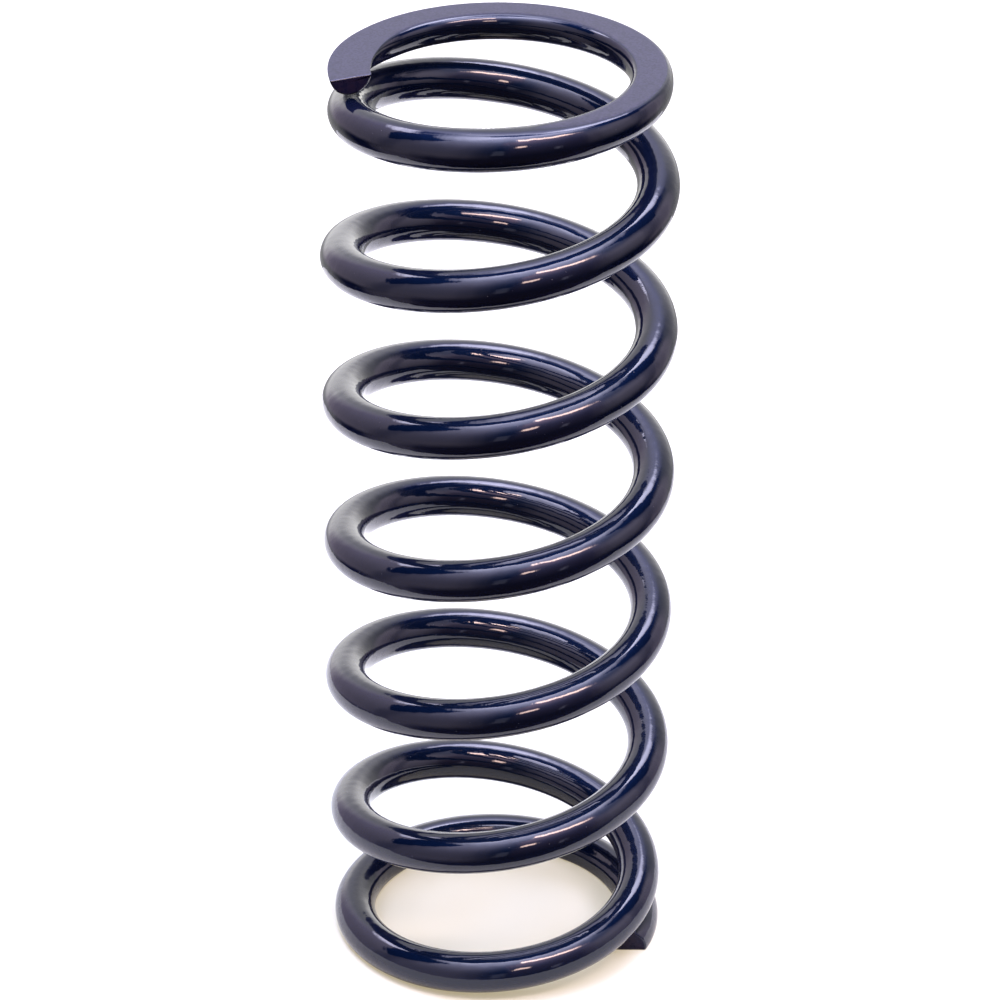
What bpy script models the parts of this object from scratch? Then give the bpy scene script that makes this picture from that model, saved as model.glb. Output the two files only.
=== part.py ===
"""Coil-over suspension spring with closed and ground ends.

One round steel wire is wound right-handed round the Z axis. Its end coils lie almost flat, and
both faces are ground square to the axis, so the wire tapers to half its thickness at each tip.
The wire is modelled in short lengths, each a solid of its own. A compression spring shortens
because its wire twists, so every length is hinged to the one below it about the wire's own
direction, and the hinge lies where the two lengths meet.

Frame: origin on the spring's axis at the lower ground face, +Z towards the upper face.
"""
import math
from dataclasses import dataclass

import bmesh
import bpy

# Driving dimensions, in metres and turns
BORE_DIAMETER = 0.0635      # inside the active coils
WIRE_DIAMETER = 0.0099
FREE_LENGTH = 0.2286        # from ground face to ground face
TOTAL_TURNS = 7.604         # tip to tip
LOWER_TIP_DEGREES = -27.0   # direction of the lower tip, seen from above, from +X towards +Y


@dataclass
class EndCoil:
    """How the wire leaves a ground face. Turns are counted from the tip of the wire."""

    tip_depth: float        # from the ground face in to the wire's centre, at the tip
    pitch: float            # climb of the closed coil over one turn
    closed_turns: float     # turns before the wire starts to climb faster
    climb_turns: float      # turns over which it reaches the pitch of the active coils
    tightness: float        # how much smaller the end coil's radius is than the others'
    tight_turns: float      # turns that have the smaller radius
    widen_turns: float      # turns over which it reaches the full radius
    tip_lift: float = 0.0   # how far the tip is pushed outwards by the coil that it rests on
    lift_turns: float = 1.0


LOWER_END = EndCoil(
    tip_depth=0.0008,
    pitch=0.0031,
    closed_turns=0.405,
    climb_turns=0.785,
    tightness=0.0016,
    tight_turns=1.05,
    widen_turns=1.12,
)
UPPER_END = EndCoil(
    tip_depth=0.0019,
    pitch=0.0022,
    closed_turns=0.45,
    climb_turns=0.835,
    tightness=0.00225,
    tight_turns=0.905,
    widen_turns=0.795,
    tip_lift=0.0025,
    lift_turns=0.15,
)

# Lengths that the wire is divided into
FIRST_JOINT_DEGREES = 315.0   # first hinge, about one turn up from the lower tip
JOINT_STEP_DEGREES = 90.0
UPPER_END_DEGREES = 360.0     # the last hinge is at least this far before the upper tip
JOINT_GAP = 0.0003            # left between neighbouring lengths

# Fineness of the solids
SIDES = 20                    # flats round the wire
STATIONS_PER_LENGTH = 8       # rings of points along a quarter turn, less one
SHARP_DEGREES = 35.0          # edges sharper than this are not shaded smooth
PROFILE_STEPS = 4000          # steps that the wire's heights are worked out in
SLOPE_REACH = 0.002           # radians either side of a place, to measure the wire's climb there

SIDE_NAMES = ("right", "back", "left", "front")   # +X, +Y, -X, -Y
COAT_COLOUR = (0.012, 0.017, 0.060, 1.0)
COAT_ROUGHNESS = 0.15

# Sizes that follow
WIRE_RADIUS = WIRE_DIAMETER / 2
COIL_RADIUS = BORE_DIAMETER / 2 + WIRE_RADIUS
FULL_TURN = 2 * math.pi
LOWER_TIP_ANGLE = math.radians(LOWER_TIP_DEGREES)
UPPER_TIP_ANGLE = LOWER_TIP_ANGLE + FULL_TURN * TOTAL_TURNS


def ease(x):
    """0 before x = 0, 1 after x = 1, and a smooth rise between."""
    x = min(max(x, 0.0), 1.0)
    return x * x * (3 - 2 * x)


def nearest_end(turns):
    """The end coil that this place on the wire is nearer to, and the turns from its tip."""
    if turns < TOTAL_TURNS / 2:
        return LOWER_END, turns
    return UPPER_END, TOTAL_TURNS - turns


def rise_profile():
    """Heights of the wire's centre at even steps from tip to tip.

    The active pitch is what makes the heights end at the upper tip.
    """
    step = TOTAL_TURNS / PROFILE_STEPS
    middles = [(i + 0.5) * step for i in range(PROFILE_STEPS)]
    closed_rise, active_turns = 0.0, 0.0
    for turns in middles:
        end, from_tip = nearest_end(turns)
        active = ease((from_tip - end.closed_turns) / end.climb_turns)
        closed_rise += end.pitch * (1 - active) * step
        active_turns += active * step
    rise = FREE_LENGTH - LOWER_END.tip_depth - UPPER_END.tip_depth
    active_pitch = (rise - closed_rise) / active_turns
    heights = [LOWER_END.tip_depth]
    for turns in middles:
        end, from_tip = nearest_end(turns)
        active = ease((from_tip - end.closed_turns) / end.climb_turns)
        pitch = end.pitch + (active_pitch - end.pitch) * active
        heights.append(heights[-1] + pitch * step)
    for i in range(PROFILE_STEPS + 1):
        from_tip = TOTAL_TURNS - i * step
        heights[i] += UPPER_END.tip_lift * (1 - ease(from_tip / UPPER_END.lift_turns))
    return heights


HEIGHTS = rise_profile()


def centre_height(angle):
    """Height of the wire's centre where the wire has turned to this angle."""
    place = (angle - LOWER_TIP_ANGLE) / (UPPER_TIP_ANGLE - LOWER_TIP_ANGLE) * PROFILE_STEPS
    low = min(max(int(place), 0), PROFILE_STEPS - 1)
    return HEIGHTS[low] + (HEIGHTS[low + 1] - HEIGHTS[low]) * (place - low)


def coil_radius(angle):
    """Radius of the coil's centreline: the end coils are wound a little tighter."""
    end, from_tip = nearest_end((angle - LOWER_TIP_ANGLE) / FULL_TURN)
    widened = ease((from_tip - end.tight_turns) / end.widen_turns)
    return COIL_RADIUS - end.tightness * (1 - widened)


def wire_centre(angle):
    """The wire's centre at this angle."""
    radius = coil_radius(angle)
    return (radius * math.cos(angle), radius * math.sin(angle), centre_height(angle))


def section(angle):
    """The wire's outline in the upright plane through the spring's axis at this angle.

    The wire climbs, so an upright cut through it is slightly taller than it is wide. What would
    reach past a ground face is brought onto the face.
    """
    climb_angle = math.atan2(
        centre_height(angle + SLOPE_REACH) - centre_height(angle - SLOPE_REACH),
        2 * SLOPE_REACH * COIL_RADIUS,
    )
    half_height = WIRE_RADIUS / math.cos(climb_angle)
    radius, height = coil_radius(angle), centre_height(angle)
    points = []
    for i in range(SIDES):
        around = FULL_TURN * i / SIDES
        out = radius + WIRE_RADIUS * math.cos(around)
        up = height + half_height * math.sin(around)
        up = min(max(up, 0.0), FREE_LENGTH)
        points.append((out * math.cos(angle), out * math.sin(angle), up))
    return points


def powder_coat():
    """Glossy navy powder coating over steel."""
    material = bpy.data.materials.new("navy_powder_coat")
    material.use_nodes = True
    shader = material.node_tree.nodes["Principled BSDF"]
    shader.inputs["Base Color"].default_value = COAT_COLOUR
    shader.inputs["Metallic"].default_value = 0.0
    shader.inputs["Roughness"].default_value = COAT_ROUGHNESS
    material.diffuse_color = COAT_COLOUR
    return material


def wire_length(name, start, end, stations, pivot, material, parent):
    """One length of wire from angle start to angle end, closed by a flat face at each end.

    Its origin is at pivot, the wire's centre where it is hinged to the length below it.
    """
    mesh = bmesh.new()
    rings = []
    for i in range(stations + 1):
        angle = start + (end - start) * i / stations
        ring = [
            mesh.verts.new([value - shift for value, shift in zip(point, pivot)])
            for point in section(angle)
        ]
        rings.append(ring)
    for lower, upper in zip(rings, rings[1:]):
        for i in range(SIDES):
            j = (i + 1) % SIDES
            mesh.faces.new((lower[i], lower[j], upper[j], upper[i]))
    mesh.faces.new(rings[0])
    mesh.faces.new(rings[-1])
    bmesh.ops.recalc_face_normals(mesh, faces=mesh.faces)
    data = bpy.data.meshes.new(name)
    mesh.to_mesh(data)
    mesh.free()
    data.shade_smooth()
    data.set_sharp_from_angle(angle=math.radians(SHARP_DEGREES))
    data.materials.append(material)
    piece = bpy.data.objects.new(name, data)
    bpy.context.collection.objects.link(piece)
    origin = pivot
    if parent is not None:
        piece.parent = parent
        origin = [here - below for here, below in zip(pivot, parent["pivot"])]
    piece.location = origin
    piece["pivot"] = pivot
    return piece


def joint_angles():
    """Angles of the hinges, from the lowest to the highest."""
    step = math.radians(JOINT_STEP_DEGREES)
    last = UPPER_TIP_ANGLE - math.radians(UPPER_END_DEGREES)
    angle = math.radians(FIRST_JOINT_DEGREES)
    angles = []
    while angle <= last:
        angles.append(angle)
        angle += step
    return angles


def length_names(count):
    """Names of the lengths between the end coils, by coil and by the side each lies on."""
    names = []
    for i in range(count):
        coil = i // len(SIDE_NAMES) + 1
        names.append(f"coil_{coil}_{SIDE_NAMES[i % len(SIDE_NAMES)]}")
    return names


def build():
    for old in list(bpy.data.objects):
        bpy.data.objects.remove(old, do_unlink=True)
    coat = powder_coat()
    joints = joint_angles()
    half_gap = JOINT_GAP / 2 / COIL_RADIUS
    step = math.radians(JOINT_STEP_DEGREES)

    def stations(start, end):
        return max(STATIONS_PER_LENGTH, round(STATIONS_PER_LENGTH * (end - start) / step))

    end = joints[0] - half_gap
    piece = wire_length(
        "lower_end_coil",
        LOWER_TIP_ANGLE,
        end,
        stations(LOWER_TIP_ANGLE, end),
        (0.0, 0.0, 0.0),
        coat,
        None,
    )
    names = length_names(len(joints) - 1) + ["upper_end_coil"]
    ends = [angle - half_gap for angle in joints[1:]] + [UPPER_TIP_ANGLE]
    for name, joint, end in zip(names, joints, ends):
        start = joint + half_gap
        piece = wire_length(
            name, start, end, stations(start, end), wire_centre(joint), coat, piece
        )


build()
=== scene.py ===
"""Looks of the coil-over spring: fine wire surface, powder coat, studio and camera.

The spring is one round wire in 24 hinged lengths. Each piece here is one length, drawn far finer
than the CAD solid that it stands for, and it rides on that solid's body. Neighbouring pieces share
their rim exactly, so the wire looks whole at rest and stays whole as the hinges turn, because each
rim turns in its own plane.
"""
import math
from dataclasses import dataclass

import bpy
import numpy as np
from mathutils import Matrix, Vector


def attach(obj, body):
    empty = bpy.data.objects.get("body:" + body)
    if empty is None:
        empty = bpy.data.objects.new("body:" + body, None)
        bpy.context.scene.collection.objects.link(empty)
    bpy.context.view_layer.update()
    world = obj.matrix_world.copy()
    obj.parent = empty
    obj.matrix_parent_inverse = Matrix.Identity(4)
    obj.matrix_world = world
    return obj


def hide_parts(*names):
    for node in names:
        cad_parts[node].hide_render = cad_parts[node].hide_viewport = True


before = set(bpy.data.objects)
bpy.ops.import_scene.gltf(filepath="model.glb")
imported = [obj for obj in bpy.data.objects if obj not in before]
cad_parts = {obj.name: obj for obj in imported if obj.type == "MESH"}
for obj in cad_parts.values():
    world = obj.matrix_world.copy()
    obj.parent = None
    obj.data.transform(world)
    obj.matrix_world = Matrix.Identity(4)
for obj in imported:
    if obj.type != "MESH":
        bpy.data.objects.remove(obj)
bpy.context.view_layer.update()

# ---------------------------------------------------------------- the wire, as the CAD has it
BORE_DIAMETER = 0.0635
WIRE_DIAMETER = 0.0099
FREE_LENGTH = 0.2286
TOTAL_TURNS = 7.604
LOWER_TIP_DEGREES = -27.0


@dataclass
class EndCoil:
    """How the wire leaves a ground face. Turns are counted from the tip of the wire."""

    tip_depth: float
    pitch: float
    closed_turns: float
    climb_turns: float
    tightness: float
    tight_turns: float
    widen_turns: float
    cut_slant: float          # degrees of the coil by which the cut tip leads at its outer side
    tip_lift: float = 0.0
    lift_turns: float = 1.0


LOWER_END = EndCoil(
    tip_depth=0.0008,
    pitch=0.0031,
    closed_turns=0.405,
    climb_turns=0.785,
    tightness=0.0016,
    tight_turns=1.05,
    widen_turns=1.12,
    cut_slant=3.5,
)
UPPER_END = EndCoil(
    tip_depth=0.0019,
    pitch=0.0022,
    closed_turns=0.45,
    climb_turns=0.835,
    tightness=0.00225,
    tight_turns=0.905,
    widen_turns=0.795,
    cut_slant=1.8,
    tip_lift=0.0025,
    lift_turns=0.15,
)
FIRST_JOINT_DEGREES = 315.0
JOINT_STEP_DEGREES = 90.0
UPPER_END_DEGREES = 360.0
PROFILE_STEPS = 4000
SLOPE_REACH = 0.002
SLANT_TURNS = 0.05            # turns from a tip over which the slant of its cut fades away
SIDE_NAMES = ("right", "back", "left", "front")

WIRE_RADIUS = WIRE_DIAMETER / 2
COIL_RADIUS = BORE_DIAMETER / 2 + WIRE_RADIUS
FULL_TURN = 2 * math.pi
LOWER_TIP_ANGLE = math.radians(LOWER_TIP_DEGREES)
UPPER_TIP_ANGLE = LOWER_TIP_ANGLE + FULL_TURN * TOTAL_TURNS

# ---------------------------------------------------------------- fineness of the surface
ARC_SIDES = 72                # points round the wire between the end coils
END_SIDES = 144               # points round an end coil's wire, so that its ground edge is crisp
STATION_LENGTH = 0.0012       # along the wire, between rings of points
FEWEST_STATIONS = 8
EDGE_ROUNDING = 0.0009        # of the powder coat over the edge of a ground face
WORN_ROUNDING = 0.0016        # added to it on the inner side of the upper face, near its tip,
WORN_START = 0.06             # turns from that tip where it starts,
WORN_GROWTH = 0.12            # over how many turns it grows,
WORN_STOP = 0.31              # where it starts to fade,
WORN_FADING = 0.16            # and over how many turns it fades
EDGE_ONSET = 1.10             # points start to gather when the wire is this near to a ground face,
EDGE_GATHERING = 5.0          # in wire radii; how many times denser they become,
EDGE_SPREAD = 0.16            # and over how many radians
FINE_ANGLES = 2880            # steps round the wire that the spread of its points is worked out in
ROUND_REACH = 0.004           # radians round the wire, to measure the surface's direction
FACE_DRAW_IN = 0.15           # keeps the points of a ground face from folding over its edge
TIP_ROUNDING = 0.0005         # of the powder coat over the edge of a cut wire tip
TIP_ROUNDING_RINGS = 6        # rings of points over that edge
TIP_FACE_RINGS = 8            # and from there to near the middle of the cut face


def ease(x):
    """0 before x = 0, 1 after x = 1, and a smooth rise between."""
    x = min(max(x, 0.0), 1.0)
    return x * x * (3 - 2 * x)


def nearest_end(turns):
    """The end coil that this place on the wire is nearer to, and the turns from its tip."""
    if turns < TOTAL_TURNS / 2:
        return LOWER_END, turns
    return UPPER_END, TOTAL_TURNS - turns


def rise_profile():
    """Heights of the wire's centre at even steps from tip to tip.

    The active pitch is what makes the heights end at the upper tip.
    """
    step = TOTAL_TURNS / PROFILE_STEPS
    middles = [(i + 0.5) * step for i in range(PROFILE_STEPS)]
    closed_rise, active_turns = 0.0, 0.0
    for turns in middles:
        end, from_tip = nearest_end(turns)
        active = ease((from_tip - end.closed_turns) / end.climb_turns)
        closed_rise += end.pitch * (1 - active) * step
        active_turns += active * step
    rise = FREE_LENGTH - LOWER_END.tip_depth - UPPER_END.tip_depth
    active_pitch = (rise - closed_rise) / active_turns
    heights = [LOWER_END.tip_depth]
    for turns in middles:
        end, from_tip = nearest_end(turns)
        active = ease((from_tip - end.closed_turns) / end.climb_turns)
        pitch = end.pitch + (active_pitch - end.pitch) * active
        heights.append(heights[-1] + pitch * step)
    for i in range(PROFILE_STEPS + 1):
        from_tip = TOTAL_TURNS - i * step
        heights[i] += UPPER_END.tip_lift * (1 - ease(from_tip / UPPER_END.lift_turns))
    return heights


HEIGHTS = rise_profile()


def centre_height(angle):
    """Height of the wire's centre where the wire has turned to this angle."""
    place = (angle - LOWER_TIP_ANGLE) / (UPPER_TIP_ANGLE - LOWER_TIP_ANGLE) * PROFILE_STEPS
    low = min(max(int(place), 0), PROFILE_STEPS - 1)
    return HEIGHTS[low] + (HEIGHTS[low + 1] - HEIGHTS[low]) * (place - low)


def coil_radius(angle):
    """Radius of the coil's centreline: the end coils are wound a little tighter."""
    end, from_tip = nearest_end((angle - LOWER_TIP_ANGLE) / FULL_TURN)
    widened = ease((from_tip - end.tight_turns) / end.widen_turns)
    return COIL_RADIUS - end.tightness * (1 - widened)


def climb_angle(angle):
    """How steeply the wire climbs here, in radians."""
    rise = centre_height(angle + SLOPE_REACH) - centre_height(angle - SLOPE_REACH)
    return math.atan2(rise, 2 * SLOPE_REACH * COIL_RADIUS)


def joint_angles():
    """Angles of the hinges, from the lowest to the highest."""
    step = math.radians(JOINT_STEP_DEGREES)
    last = UPPER_TIP_ANGLE - math.radians(UPPER_END_DEGREES)
    angle = math.radians(FIRST_JOINT_DEGREES)
    angles = []
    while angle <= last:
        angles.append(angle)
        angle += step
    return angles


# ---------------------------------------------------------------- outline of the wire
def soft_least(a, b, width):
    """The lesser of a and b, with a smooth passage this wide where they cross."""
    mix = np.clip(0.5 + 0.5 * (b - a) / width, 0.0, 1.0)
    return b + (a - b) * mix - width * mix * (1 - mix)


def ground_edges(angle):
    """Where round the wire a ground face cuts it, and how fully, from 0 to 1."""
    half_height = WIRE_RADIUS / math.cos(climb_angle(angle))
    height = centre_height(angle)
    edges = []
    for face, side in ((0.0, -1), (FREE_LENGTH, 1)):
        reach = abs(face - height) / half_height
        if side * (face - height) < 0:
            reach = -reach
        strength = ease((EDGE_ONSET - reach) / (EDGE_ONSET - 1))
        if strength > 0:
            edge = math.asin(min(reach, 1.0))
            edges.append((side * edge, strength))
            edges.append((side * (math.pi - edge), strength))
    return edges


def angles_round(angle, sides):
    """Angles round the wire, evenly spread but closer together at the edges of a ground face."""
    fine = np.linspace(0.0, FULL_TURN, FINE_ANGLES + 1)
    density = np.ones_like(fine)
    for edge, strength in ground_edges(angle):
        away = np.angle(np.exp(1j * (fine - edge)))
        density += strength * EDGE_GATHERING * np.exp(-((away / EDGE_SPREAD) ** 2))
    total = np.concatenate([[0.0], np.cumsum((density[1:] + density[:-1]) / 2)])
    return np.interp(np.arange(sides) / sides, total / total[-1], fine)


def edge_rounding(angle, around):
    """Width of the rounding of the upper ground edge here."""
    from_tip = (UPPER_TIP_ANGLE - angle) / FULL_TURN
    worn = ease((from_tip - WORN_START) / WORN_GROWTH)
    worn *= 1 - ease((from_tip - WORN_STOP) / WORN_FADING)
    inner_side = (0.5 - 0.5 * np.cos(around)) ** 2
    return EDGE_ROUNDING + WORN_ROUNDING * worn * inner_side


def surface(angle, around):
    """Points on the wire at this angle of the coil and these angles round the wire."""
    half_height = WIRE_RADIUS / math.cos(climb_angle(angle))
    round_up = centre_height(angle) + half_height * np.sin(around)
    up = soft_least(round_up, FREE_LENGTH, edge_rounding(angle, around))
    up = -soft_least(-up, 0.0, EDGE_ROUNDING)
    reach = WIRE_RADIUS - FACE_DRAW_IN * np.abs(round_up - up)
    out = coil_radius(angle) + reach * np.cos(around)
    end, from_tip = nearest_end((angle - LOWER_TIP_ANGLE) / FULL_TURN)
    slant = math.radians(end.cut_slant) * (1 - ease(from_tip / SLANT_TURNS))
    place = angle + slant * np.cos(around)
    return np.stack([out * np.cos(place), out * np.sin(place), up], axis=1)


def outward(angle, around):
    """Directions straight out of that surface."""
    along = surface(angle + SLOPE_REACH, around) - surface(angle - SLOPE_REACH, around)
    across = surface(angle, around + ROUND_REACH) - surface(angle, around - ROUND_REACH)
    normals = np.cross(along, across)
    return normals / np.linalg.norm(normals, axis=1, keepdims=True)


def wire_rings(start, end, sides):
    """Points and outward directions of a length of wire, ring by ring."""
    count = max(FEWEST_STATIONS, round((end - start) * COIL_RADIUS / STATION_LENGTH))
    points = []
    normals = []
    for angle in np.linspace(start, end, count + 1):
        around = angles_round(angle, sides)
        points.append(surface(angle, around))
        normals.append(outward(angle, around))
    return points, normals


def tip_rings(angle, inward, sides):
    """The rounded edge and flat face of a wire tip cut at this angle.

    inward is +1 or -1, the way from the tip back into the wire.
    """
    around = angles_round(angle, sides)
    points = []
    normals = []
    outer_side, inner_side = surface(angle, np.array([0.0, math.pi]))
    chord = outer_side - inner_side
    face_normal = np.array([chord[1], -chord[0], 0.0]) * inward
    face_normal /= np.linalg.norm(face_normal)

    for i in range(1, TIP_ROUNDING_RINGS + 1):
        turn = math.pi / 2 * i / TIP_ROUNDING_RINGS
        back = TIP_ROUNDING * (1 - math.sin(turn)) * inward / COIL_RADIUS
        skin = surface(angle + back, around)
        out = outward(angle + back, around)
        points.append(skin - out * TIP_ROUNDING * (1 - math.cos(turn)))
        normals.append(out * math.cos(turn) + face_normal * math.sin(turn))

    rim = points[-1]
    middle = rim.mean(axis=0)
    for i in range(1, TIP_FACE_RINGS):
        points.append(rim + (middle - rim) * i / TIP_FACE_RINGS)
        normals.append(np.tile(face_normal, (sides, 1)))
    return points, normals


def tube_faces(count, sides):
    """Faces of a tube of this many rings: first its wall, ring by ring, then its two ends."""
    faces = []
    for ring in range(count - 1):
        low = ring * sides
        for i in range(sides):
            j = (i + 1) % sides
            faces.append((low + j, low + i, low + sides + i, low + sides + j))
    faces.append(tuple(range(sides)))
    faces.append(tuple(range((count - 1) * sides, count * sides))[::-1])
    return faces


def set_normals(mesh, skin_normals):
    """Shades the wall by the surface's own directions, and each of the two ends as a flat face."""
    loop_vertices = np.empty(len(mesh.loops), int)
    mesh.loops.foreach_get("vertex_index", loop_vertices)
    loop_normals = skin_normals[loop_vertices]
    face_count = len(mesh.polygons)
    for face in (face_count - 2, face_count - 1):
        polygon = mesh.polygons[face]
        span = slice(polygon.loop_start, polygon.loop_start + polygon.loop_total)
        loop_normals[span] = polygon.normal
    mesh.normals_split_custom_set(loop_normals.tolist())


def make_length(name, start, end, sides, materials):
    """One closed length of wire, with smooth directions that carry on into its neighbours.

    A cut tip's face gets the second material.
    """
    trim = TIP_ROUNDING / COIL_RADIUS
    lower_tip = start == LOWER_TIP_ANGLE
    upper_tip = end == UPPER_TIP_ANGLE
    points, normals = wire_rings(start + trim * lower_tip, end - trim * upper_tip, sides)
    if lower_tip:
        tip_points, tip_normals = tip_rings(start, 1, sides)
        points = tip_points[::-1] + points
        normals = tip_normals[::-1] + normals
    if upper_tip:
        tip_points, tip_normals = tip_rings(end, -1, sides)
        points = points + tip_points
        normals = normals + tip_normals
    faces = tube_faces(len(points), sides)
    mesh = bpy.data.meshes.new(name)
    mesh.from_pydata(np.concatenate(points).tolist(), [], faces)
    for material in materials:
        mesh.materials.append(material)
    mesh.shade_smooth()

    wall_count = len(faces) - 2
    cut_count = TIP_FACE_RINGS * sides
    cut_faces = []
    if lower_tip:
        cut_faces = [*range(cut_count), wall_count]
    elif upper_tip:
        cut_faces = [*range(wall_count - cut_count, wall_count), wall_count + 1]
    for face in cut_faces:
        mesh.polygons[face].material_index = 1
    set_normals(mesh, np.concatenate(normals))
    piece = bpy.data.objects.new(name, mesh)
    bpy.context.scene.collection.objects.link(piece)
    return piece


def length_names(count):
    """Names of the CAD's lengths between the end coils, from the lowest to the highest."""
    names = []
    for i in range(count):
        coil = i // len(SIDE_NAMES) + 1
        names.append(f"coil_{coil}_{SIDE_NAMES[i % len(SIDE_NAMES)]}")
    return names


def make_spring(coat, cut):
    """All the lengths of the wire, each on the body of the CAD solid that it stands for."""
    joints = joint_angles()
    nodes = ["lower_end_coil"] + length_names(len(joints) - 1) + ["upper_end_coil"]
    cuts = [LOWER_TIP_ANGLE] + joints + [UPPER_TIP_ANGLE]
    for node, start, end in zip(nodes, cuts, cuts[1:]):
        sides = ARC_SIDES
        materials = [coat]
        if node.endswith("end_coil"):
            sides = END_SIDES
            materials = [coat, cut]
        piece = make_length(node + "_wire", start, end, sides, materials)
        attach(piece, node)
        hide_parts(node)


# ---------------------------------------------------------------- node helpers
NOISE_LOW = 0.3               # nearly all of a noise node's values lie between these
NOISE_HIGH = 0.7
MIX_FIRST = 6                 # places of a colour mix's sockets
MIX_SECOND = 7
MIX_RESULT = 2


def add_node(tree, kind, **settings):
    """A new node of this kind with these settings."""
    node = tree.nodes.new(kind)
    for name, value in settings.items():
        setattr(node, name, value)
    return node


def math_node(tree, operation, first, second=None):
    """A Math node's output. Each input is a number or another node's output."""
    node = add_node(tree, "ShaderNodeMath", operation=operation)
    for socket, value in zip(node.inputs, (first, second)):
        if value is None:
            continue
        if isinstance(value, bpy.types.NodeSocket):
            tree.links.new(value, socket)
        else:
            socket.default_value = value
    return node.outputs[0]


def ramp_node(tree, value, start, end, low=0.0, high=1.0):
    """A smooth passage from low to high as value goes from start to end."""
    node = add_node(tree, "ShaderNodeMapRange", interpolation_type="SMOOTHSTEP")
    tree.links.new(value, node.inputs["Value"])
    node.inputs["From Min"].default_value = start
    node.inputs["From Max"].default_value = end
    node.inputs["To Min"].default_value = low
    node.inputs["To Max"].default_value = high
    return node.outputs[0]


def mix_node(tree, factor, first, second):
    """A colour between first and second, each a colour or another node's output."""
    node = add_node(tree, "ShaderNodeMix", data_type="RGBA")
    tree.links.new(factor, node.inputs["Factor"])
    for place, value in ((MIX_FIRST, first), (MIX_SECOND, second)):
        socket = node.inputs[place]
        if isinstance(value, bpy.types.NodeSocket):
            tree.links.new(value, socket)
        else:
            socket.default_value = (*value, 1.0)
    return node.outputs[MIX_RESULT]


def noise_node(tree, place, lumps, detail):
    """Smooth noise about 0.5, with this many lumps to a metre."""
    node = add_node(tree, "ShaderNodeTexNoise")
    tree.links.new(place, node.inputs["Vector"])
    node.inputs["Scale"].default_value = lumps
    node.inputs["Detail"].default_value = detail
    node.inputs["Roughness"].default_value = 0.5
    return node.outputs["Fac"]


# ---------------------------------------------------------------- powder coat
NAVY = (0.0005, 0.0050, 0.0240)
NAVY_DEEP = (0.0003, 0.0039, 0.0190)
# ground faces, speckled between these two: their duller finish, lightened with a painted
# reflection of the overhead light
GROUND_SHEEN_DARK = (0.0140, 0.0135, 0.0330)
GROUND_SHEEN_LIGHT = (0.0330, 0.0315, 0.0670)
CUT_NAVY = (0.0170, 0.0100, 0.0250)
GLEAM = (0.25, 0.35, 0.60)    # how the flake under the clear coat shines at a grazing angle
DUST = (0.16, 0.16, 0.19)
COAT_IOR = 1.5
CLEAR_ROUGHNESS = 0.045
FLAKE_ROUGHNESS = 0.50
GROUND_ROUGHNESS = 0.31
CUT_ROUGHNESS = 0.30
CUT_SPECULAR = 0.15
FLAKE_SPREAD = 0.06           # share by which the flake's roughness varies
METAL = 0.87                  # share of the flake in what lies under the clear coat
GROUND_BAND = 0.00010         # from a ground face in to where the coat is fully glossy
GROUND_CORE = GROUND_BAND / 5   # and in to where it is still fully dull
GROUND_FLATTENING = 0.75      # share of the relief that grinding took away
DUST_SIZE = 0.00011
DUST_CELLS = 420.0            # cells per metre; a nib shows where a cell's middle is on the skin
DUST_COVER = 0.5              # how far the dust's colour hides the paint's
BROAD_PEEL = 0.000045         # relief of the orange peel, in metres
FINE_PEEL = 0.000009
NIB_HEIGHT = 0.00002
CUT_RELIEF = 0.00018
CUT_SMOOTHEST = 0.7           # least and greatest share of its roughness over the cut face
CUT_ROUGHEST = 1.2
CLOUD_LUMPS = 90.0            # lumps of noise per metre: the paint's shade,
SPECKLE_LUMPS = 1900.0        # the ground faces' shade,
FLAKE_LUMPS = 1500.0          # the flake's roughness,
BROAD_LUMPS = 380.0           # the orange peel,
FINE_LUMPS = 1300.0
CUT_LUMPS = 700.0             # the cut face's shade
CUT_RELIEF_LUMPS = 450.0      # and its relief


def ground_share(tree, place):
    """1 on the ground faces, and 0 on the rest of the wire."""
    split = add_node(tree, "ShaderNodeSeparateXYZ")
    tree.links.new(place, split.inputs[0])
    height = split.outputs["Z"]
    upper = ramp_node(tree, height, FREE_LENGTH - GROUND_BAND, FREE_LENGTH - GROUND_CORE)
    lower = ramp_node(tree, height, GROUND_BAND, GROUND_CORE)
    return math_node(tree, "MAXIMUM", upper, lower)


def dust_share(tree, place):
    """1 on the scattered dust nibs, and 0 between them."""
    nibs = add_node(tree, "ShaderNodeTexVoronoi", feature="F1")
    nibs.inputs["Scale"].default_value = DUST_CELLS
    tree.links.new(place, nibs.inputs["Vector"])
    nib_size = DUST_SIZE * DUST_CELLS
    return ramp_node(tree, nibs.outputs["Distance"], nib_size, nib_size / 2)


def paint_colour(tree, place, ground, dust):
    """Navy in slow clouds, greyer and speckled where it is ground, pale on the dust. The lighter
    grey of the ground faces is partly a painted reflection of the overhead light.
    """
    cloud = noise_node(tree, place, CLOUD_LUMPS, detail=4.0)
    paint = mix_node(tree, cloud, NAVY_DEEP, NAVY)
    speckle = noise_node(tree, place, SPECKLE_LUMPS, detail=3.0)
    speckle = ramp_node(tree, speckle, NOISE_LOW, NOISE_HIGH)
    # speckled grey of the ground faces, partly a painted reflection of the overhead light
    ground_and_sheen = mix_node(tree, speckle, GROUND_SHEEN_DARK, GROUND_SHEEN_LIGHT)
    paint = mix_node(tree, ground, paint, ground_and_sheen)
    dusty = math_node(tree, "MULTIPLY", dust, DUST_COVER)
    return mix_node(tree, dusty, paint, DUST)


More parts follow.
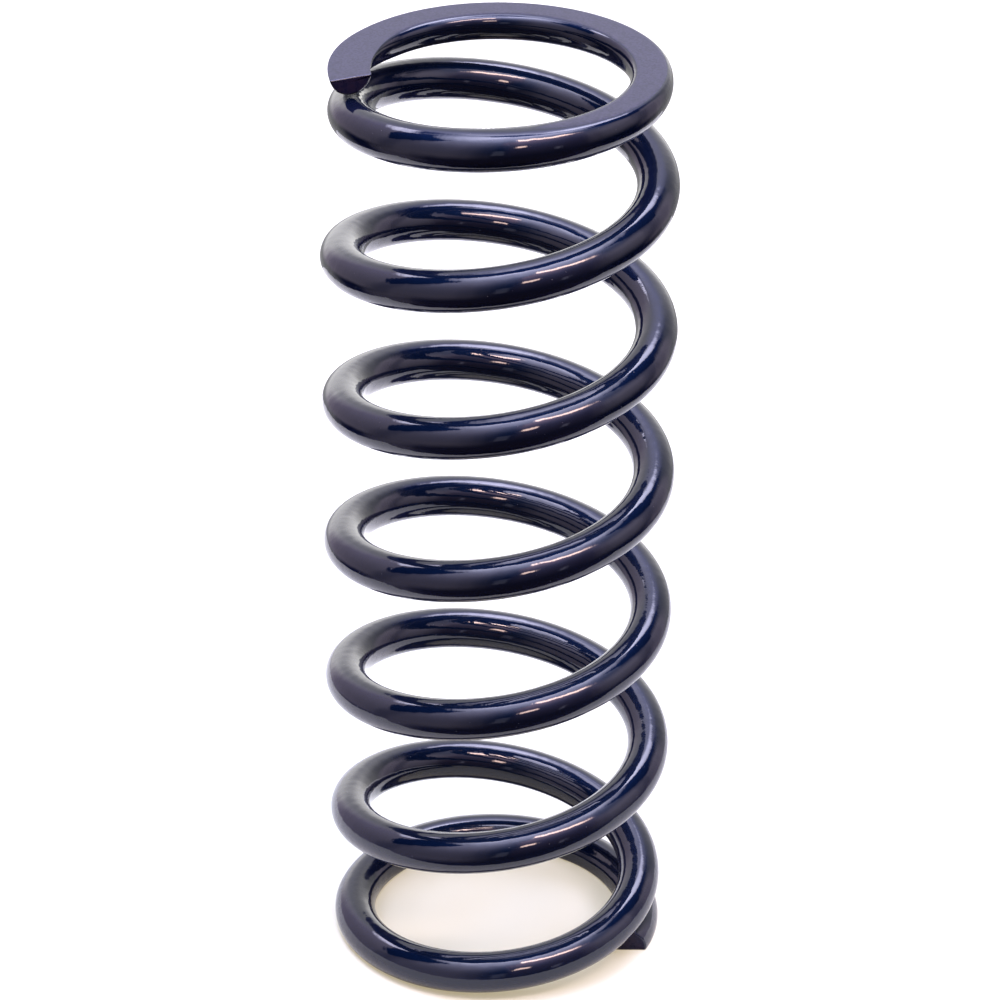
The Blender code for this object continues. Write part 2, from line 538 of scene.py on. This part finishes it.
def coat_roughness(tree, place, ground):
    """Roughness under the clear coat, and that of the ground faces."""
    grain = noise_node(tree, place, FLAKE_LUMPS, detail=2.0)
    grain = ramp_node(tree, grain, NOISE_LOW, NOISE_HIGH, 1 - FLAKE_SPREAD, 1 + FLAKE_SPREAD)
    dulled = mix_node(tree, ground, (FLAKE_ROUGHNESS,) * 3, (GROUND_ROUGHNESS,) * 3)
    return math_node(tree, "MULTIPLY", dulled, grain)


def coat_normal(tree, place, ground, dust):
    """Orange peel and dust nibs, flatter where they are ground."""
    broad = noise_node(tree, place, BROAD_LUMPS, detail=0.0)
    broad = math_node(tree, "MULTIPLY", broad, BROAD_PEEL)
    fine = noise_node(tree, place, FINE_LUMPS, detail=1.0)
    fine = math_node(tree, "MULTIPLY", fine, FINE_PEEL)
    raised = math_node(tree, "MULTIPLY", dust, NIB_HEIGHT)
    relief = math_node(tree, "ADD", math_node(tree, "ADD", broad, fine), raised)
    lost = math_node(tree, "MULTIPLY", ground, GROUND_FLATTENING)
    relief = math_node(tree, "MULTIPLY", relief, math_node(tree, "SUBTRACT", 1.0, lost))
    bump = add_node(tree, "ShaderNodeBump")
    bump.inputs["Strength"].default_value = 1.0
    bump.inputs["Distance"].default_value = 1.0
    tree.links.new(relief, bump.inputs["Height"])
    return bump.outputs["Normal"]


def powder_coat():
    """Glossy navy powder coat with orange peel and dust nibs, duller on the ground faces."""
    material = bpy.data.materials.new("navy_powder_coat")
    material.use_nodes = True
    tree = material.node_tree
    shader = tree.nodes["Principled BSDF"]
    shader.inputs["IOR"].default_value = COAT_IOR
    shader.inputs["Coat IOR"].default_value = COAT_IOR
    shader.inputs["Coat Roughness"].default_value = CLEAR_ROUGHNESS
    shader.inputs["Specular Tint"].default_value = (*GLEAM, 1.0)
    place = add_node(tree, "ShaderNodeTexCoord").outputs["Object"]
    ground = ground_share(tree, place)
    dust = dust_share(tree, place)
    covered = math_node(tree, "SUBTRACT", 1.0, ground)
    metal = math_node(tree, "MULTIPLY", covered, METAL)
    normal = coat_normal(tree, place, ground, dust)
    tree.links.new(paint_colour(tree, place, ground, dust), shader.inputs["Base Color"])
    tree.links.new(coat_roughness(tree, place, ground), shader.inputs["Roughness"])
    tree.links.new(covered, shader.inputs["Coat Weight"])
    tree.links.new(metal, shader.inputs["Metallic"])
    tree.links.new(normal, shader.inputs["Normal"])
    tree.links.new(normal, shader.inputs["Coat Normal"])
    return material


def cut_face():
    """The sawn tip of the wire: uneven under its coat, dark and half dull."""
    material = bpy.data.materials.new("coated_cut_face")
    material.use_nodes = True
    tree = material.node_tree
    shader = tree.nodes["Principled BSDF"]
    shader.inputs["IOR"].default_value = COAT_IOR
    shader.inputs["Specular IOR Level"].default_value = CUT_SPECULAR
    place = add_node(tree, "ShaderNodeTexCoord").outputs["Object"]
    cloud = noise_node(tree, place, CUT_LUMPS, detail=4.0)
    tree.links.new(mix_node(tree, cloud, NAVY, CUT_NAVY), shader.inputs["Base Color"])
    smoothest = CUT_ROUGHNESS * CUT_SMOOTHEST
    roughest = CUT_ROUGHNESS * CUT_ROUGHEST
    rough = ramp_node(tree, cloud, NOISE_LOW, NOISE_HIGH, smoothest, roughest)
    tree.links.new(rough, shader.inputs["Roughness"])
    bump = add_node(tree, "ShaderNodeBump")
    bump.inputs["Distance"].default_value = CUT_RELIEF
    tree.links.new(noise_node(tree, place, CUT_RELIEF_LUMPS, detail=3.0), bump.inputs["Height"])
    tree.links.new(bump.outputs["Normal"], shader.inputs["Normal"])
    return material


# ---------------------------------------------------------------- studio
# Tints of the light
COOL = (0.99, 0.97, 1.29)
LILAC = (1.08, 0.93, 1.12)
NEUTRAL = (1.02, 1.00, 0.96)
PLUM = (1.25, 0.85, 1.05)
EMBER = (1.60, 0.50, 0.10)
WARM = (1.32, 0.92, 0.78)


@dataclass
class Panel:
    """A soft panel of the light tent, far round the spring.

    Edges are directions in degrees: left and right are azimuths from the camera's side towards
    +X, low and high are elevations. Each edge fades over its softness to either side. The light
    grows from foot to top.
    """

    left: float
    right: float
    left_softness: float
    right_softness: float
    low: float
    high: float
    low_softness: float
    high_softness: float
    tint: tuple
    foot: float
    top: float
    tilt: float = 0.0         # degrees of elevation for each degree of azimuth


@dataclass
class Gap:
    """A dark three-cornered gap between panels, level at the top and pointed at the bottom."""

    top_left: float
    top_right: float
    top: float
    bottom_azimuth: float
    bottom: float
    softness: float


PANELS = (
    Panel(-185, 185, 2, 2, 60.5, 89, 7.5, 3, COOL, 3.7, 11.2),
    Panel(-67, 90, 4, 6, 29, 58, 11, 6, COOL, 0.15, 1.6),
    Panel(-80, -19, 11, 20, -18, 62, 15, 12, LILAC, 0.6, 1.25),
    Panel(-152, -86, 11, 10, -13, 49, 6, 3, LILAC, 0.65, 1.5),
    Panel(-151, -124, 4, 3, 43.5, 52, 3, 3, COOL, 7.5, 7.5, tilt=0.2),
    Panel(155, 212, 16, 11, -11, 41, 6, 8, NEUTRAL, 1.3, 1.0),
    Panel(143, 206, 5, 9, 42, 64, 11, 7, COOL, 2.1, 4.7),
    Panel(138, 166, 3.5, 7, 46.5, 65, 3, 6, COOL, 6.0, 10.0),
    Panel(63, 100, 13, 8, -7, 37, 13, 15, LILAC, 0.7, 2.0),
    Panel(105, 129, 9, 7, -20, 32, 8, 9, LILAC, 0.6, 1.3),
    Panel(129, 166, 12, 14, -11, 37, 9, 6, NEUTRAL, 0.8, 0.5),
    Panel(3, 65, 5, 8, 0, 62, 17, 6, PLUM, 0.2, 0.7),
    Panel(0, 60, 6, 8, 44, 58, 8, 6, EMBER, 0.3, 0.8),
    Panel(-132, -55, 6, 20, 69, 90, 6, 2, COOL, 3.0, 5.0),
    Panel(78, 128, 15, 12, 67, 90, 4, 2, COOL, 2.4, 1.2),
    Panel(-95, -60, 8, 12, -48, -15, 8, 8, LILAC, 0.35, 0.35),
    Panel(-70, 70, 20, 20, -60, 0, 15, 10, PLUM, 0.06, 0.06),
)
GAPS = (
    Gap(-132, -66, 62, -85, 22, 4.0),
    Gap(84, 138, 60, 111, 28, 4.0),
)
OPENING = (180, 77.5)          # azimuth and elevation of a dark opening in the top of the tent
OPENING_RADIUS = 8.0
OPENING_SOFTNESS = 2.5
OPENING_LIGHT = 0.12           # share of the tent's light that still comes from there
PANEL_GROWTH = 2.0             # power of the height by which a panel's light grows
LAMPS = (                      # these also shine where the gaps and the opening are
    Panel(9, 58, 3, 8, 56.5, 63.5, 4, 4, WARM, 28.0, 22.0, tilt=-0.3),
    Panel(6, 16.5, 2, 2, 27.5, 34.5, 3, 3, WARM, 16.0, 16.0),
    Panel(-7, 1, 2, 2, -5, 17, 4, 4, COOL, 0.5, 0.5),
    Panel(34.5, 38.5, 2, 2, -2, 9, 3, 3, COOL, 0.8, 0.8),
    Panel(160, 208, 7, 8, -10, 12, 6, 7, NEUTRAL, 0.4, 1.0),
    Panel(125, 235, 12, 12, -38, -12, 6, 6, NEUTRAL, 0.5, 0.5),
)
TABLE_FRONT = -0.078          # the white table ends here, and the tent is open in front of it
TABLE_SIDE = 0.27
TABLE_BACK = 0.33
FLOOR_REACH = 6.0
TABLE_WHITE = (0.48, 0.54, 0.53)
TABLE_GLOW = (0.36, 0.30, 0.17)
BACKDROP_LIGHT = 1.05
TABLE_ROUGHNESS = 0.7
TABLE_SPECULAR = 0.1


def edge_distance(tree, azimuth, centre):
    """Degrees of azimuth past centre, from -180 to 180."""
    turned = math_node(tree, "SUBTRACT", azimuth, centre)
    wrapped = add_node(tree, "ShaderNodeMath", operation="WRAP")
    tree.links.new(turned, wrapped.inputs[0])
    wrapped.inputs[1].default_value = 180.0
    wrapped.inputs[2].default_value = -180.0
    return wrapped.outputs[0]


def product(tree, first, *others):
    """The first value times all the others."""
    for other in others:
        first = math_node(tree, "MULTIPLY", first, other)
    return first


def panel_light(tree, panel, azimuth, elevation):
    """The panel's light in a direction, before its tint."""
    centre = (panel.left + panel.right) / 2
    half = (panel.right - panel.left) / 2
    past = edge_distance(tree, azimuth, centre)
    left, right = panel.left_softness, panel.right_softness
    tilted = math_node(tree, "MULTIPLY", past, panel.tilt)
    level = math_node(tree, "SUBTRACT", elevation, tilted)
    low, high = panel.low_softness, panel.high_softness
    climb = add_node(tree, "ShaderNodeMapRange", interpolation_type="LINEAR")
    tree.links.new(level, climb.inputs["Value"])
    climb.inputs["From Min"].default_value = panel.low
    climb.inputs["From Max"].default_value = panel.high
    grown = math_node(tree, "POWER", climb.outputs[0], PANEL_GROWTH)
    grown = math_node(tree, "MULTIPLY", grown, panel.top - panel.foot)
    return product(
        tree,
        ramp_node(tree, past, -half - left, -half + left),
        ramp_node(tree, past, half - right, half + right, 1.0, 0.0),
        ramp_node(tree, level, panel.low - low, panel.low + low),
        ramp_node(tree, level, panel.high - high, panel.high + high, 1.0, 0.0),
        math_node(tree, "ADD", grown, panel.foot),
    )


def gap_cover(tree, gap, azimuth, elevation):
    """0 inside the gap and 1 outside it."""
    half = gap.softness / 2
    climb = add_node(tree, "ShaderNodeMapRange", interpolation_type="LINEAR", clamp=False)
    tree.links.new(elevation, climb.inputs["Value"])
    climb.inputs["From Min"].default_value = gap.bottom
    climb.inputs["From Max"].default_value = gap.top
    sides = []
    for corner, way in ((gap.top_left, 1.0), (gap.top_right, -1.0)):
        slant = math_node(tree, "MULTIPLY", climb.outputs[0], corner - gap.bottom_azimuth)
        edge = math_node(tree, "ADD", slant, gap.bottom_azimuth)
        inside = math_node(tree, "SUBTRACT", azimuth, edge)
        inside = math_node(tree, "MULTIPLY", inside, way)
        sides.append(ramp_node(tree, inside, -half, half))
    below = ramp_node(tree, elevation, gap.top - half, gap.top + half, 1.0, 0.0)
    above = ramp_node(tree, elevation, gap.bottom - half, gap.bottom + half)
    return math_node(tree, "SUBTRACT", 1.0, product(tree, below, above, *sides))


def opening_cover(tree, direction):
    """0 inside the opening and 1 outside it."""
    azimuth, elevation = (math.radians(value) for value in OPENING)
    middle = (
        math.sin(azimuth) * math.cos(elevation),
        -math.cos(azimuth) * math.cos(elevation),
        math.sin(elevation),
    )
    facing = add_node(tree, "ShaderNodeVectorMath", operation="DOT_PRODUCT")
    tree.links.new(direction, facing.inputs[0])
    facing.inputs[1].default_value = middle
    outer = math.cos(math.radians(OPENING_RADIUS + OPENING_SOFTNESS))
    inner = math.cos(math.radians(OPENING_RADIUS - OPENING_SOFTNESS))
    return ramp_node(tree, facing.outputs["Value"], outer, inner, 1.0, OPENING_LIGHT)


def tinted_sum(tree, panels, azimuth, elevation):
    """The light of all these panels in a direction, each in its own tint."""
    total = None
    for panel in panels:
        light = add_node(tree, "ShaderNodeVectorMath", operation="SCALE")
        light.inputs[0].default_value = panel.tint
        tree.links.new(panel_light(tree, panel, azimuth, elevation), light.inputs["Scale"])
        if total is None:
            total = light.outputs[0]
            continue
        both = add_node(tree, "ShaderNodeVectorMath", operation="ADD")
        tree.links.new(total, both.inputs[0])
        tree.links.new(light.outputs[0], both.inputs[1])
        total = both.outputs[0]
    return total


def make_world():
    """The light tent: soft panels all round, in front of a plain pale backdrop."""
    world = bpy.data.worlds.new("studio")
    world.use_nodes = True
    tree = world.node_tree
    direction = add_node(tree, "ShaderNodeTexCoord").outputs["Generated"]
    split = add_node(tree, "ShaderNodeSeparateXYZ")
    tree.links.new(direction, split.inputs[0])
    x, y, z = split.outputs
    azimuth = math_node(tree, "ARCTAN2", x, math_node(tree, "MULTIPLY", y, -1.0))
    azimuth = math_node(tree, "DEGREES", azimuth)
    elevation = math_node(tree, "DEGREES", math_node(tree, "ARCSINE", z))
    covers = [gap_cover(tree, gap, azimuth, elevation) for gap in GAPS]
    covers.append(opening_cover(tree, direction))
    tent_light = add_node(tree, "ShaderNodeVectorMath", operation="SCALE")
    tree.links.new(tinted_sum(tree, PANELS, azimuth, elevation), tent_light.inputs[0])
    tree.links.new(product(tree, *covers), tent_light.inputs["Scale"])
    total = add_node(tree, "ShaderNodeVectorMath", operation="ADD")
    tree.links.new(tent_light.outputs[0], total.inputs[0])
    tree.links.new(tinted_sum(tree, LAMPS, azimuth, elevation), total.inputs[1])
    tent = tree.nodes["Background"]
    tree.links.new(total.outputs[0], tent.inputs["Color"])
    backdrop = add_node(tree, "ShaderNodeBackground")
    backdrop.inputs["Color"].default_value = (1.0, 1.0, 1.0, 1.0)
    backdrop.inputs["Strength"].default_value = BACKDROP_LIGHT
    seen = add_node(tree, "ShaderNodeLightPath").outputs["Is Camera Ray"]
    mix = add_node(tree, "ShaderNodeMixShader")
    tree.links.new(seen, mix.inputs[0])
    tree.links.new(tent.outputs[0], mix.inputs[1])
    tree.links.new(backdrop.outputs[0], mix.inputs[2])
    tree.links.new(mix.outputs[0], tree.nodes["World Output"].inputs["Surface"])
    bpy.context.scene.world = world


def table_material():
    """White table with a faint warm glow, so that shadows on it stay pale."""
    material = bpy.data.materials.new("studio_white")
    material.use_nodes = True
    shader = material.node_tree.nodes["Principled BSDF"]
    shader.inputs["Base Color"].default_value = (*TABLE_WHITE, 1.0)
    shader.inputs["Roughness"].default_value = TABLE_ROUGHNESS
    shader.inputs["Specular IOR Level"].default_value = TABLE_SPECULAR
    shader.inputs["Emission Color"].default_value = (*TABLE_GLOW, 1.0)
    shader.inputs["Emission Strength"].default_value = 1.0
    return material


def make_sheet(name, corners, material):
    """A flat sheet of the stage, level with the lower ground face."""
    mesh = bpy.data.meshes.new(name)
    mesh.from_pydata([(x, y, 0.0) for x, y in corners], [], [tuple(range(len(corners)))])
    mesh.materials.append(material)
    sheet = bpy.data.objects.new(name, mesh)
    bpy.context.scene.collection.objects.link(sheet)
    return sheet


def make_floor():
    """A white table, and round it a floor of the same white that doesn't light the spring."""
    white = table_material()
    inner = (
        (-TABLE_SIDE, TABLE_FRONT),
        (TABLE_SIDE, TABLE_FRONT),
        (TABLE_SIDE, TABLE_BACK),
        (-TABLE_SIDE, TABLE_BACK),
    )
    outer = (
        (-FLOOR_REACH, -FLOOR_REACH),
        (FLOOR_REACH, -FLOOR_REACH),
        (FLOOR_REACH, FLOOR_REACH),
        (-FLOOR_REACH, FLOOR_REACH),
    )
    make_sheet("studio_table", inner, white)
    for i, side in enumerate(("front", "right", "back", "left")):
        j = (i + 1) % 4
        corners = (outer[i], outer[j], inner[j], inner[i])
        sheet = make_sheet("studio_floor_" + side, corners, white)
        sheet.visible_glossy = False
        sheet.visible_diffuse = False


# ---------------------------------------------------------------- camera
CAMERA_DISTANCE = 1.1947
CAMERA_PITCH_DEGREES = 28.262
CAMERA_ROLL_DEGREES = 0.28
CAMERA_TARGET = (0.00035, 0.0, 0.11699)
SENSOR_WIDTH = 36.0           # in millimetres, like the lens
LENS = 181.0


def make_camera():
    """Looks along +Y and down at the spring, from a little over a metre away."""
    pitch = math.radians(CAMERA_PITCH_DEGREES)
    data = bpy.data.cameras.new("camera")
    data.sensor_width = SENSOR_WIDTH
    data.lens = LENS
    camera = bpy.data.objects.new("camera", data)
    back = Vector((0.0, -math.cos(pitch), math.sin(pitch)))
    camera.location = Vector(CAMERA_TARGET) + CAMERA_DISTANCE * back
    tilt = Matrix.Rotation(math.pi / 2 - pitch, 4, "X")
    roll = Matrix.Rotation(math.radians(CAMERA_ROLL_DEGREES), 4, "Z")
    camera.rotation_euler = (tilt @ roll).to_euler()
    bpy.context.scene.collection.objects.link(camera)
    bpy.context.scene.camera = camera


make_camera()
make_spring(powder_coat(), cut_face())
make_floor()
make_world()
bpy.context.scene.view_settings.view_transform = "Standard"
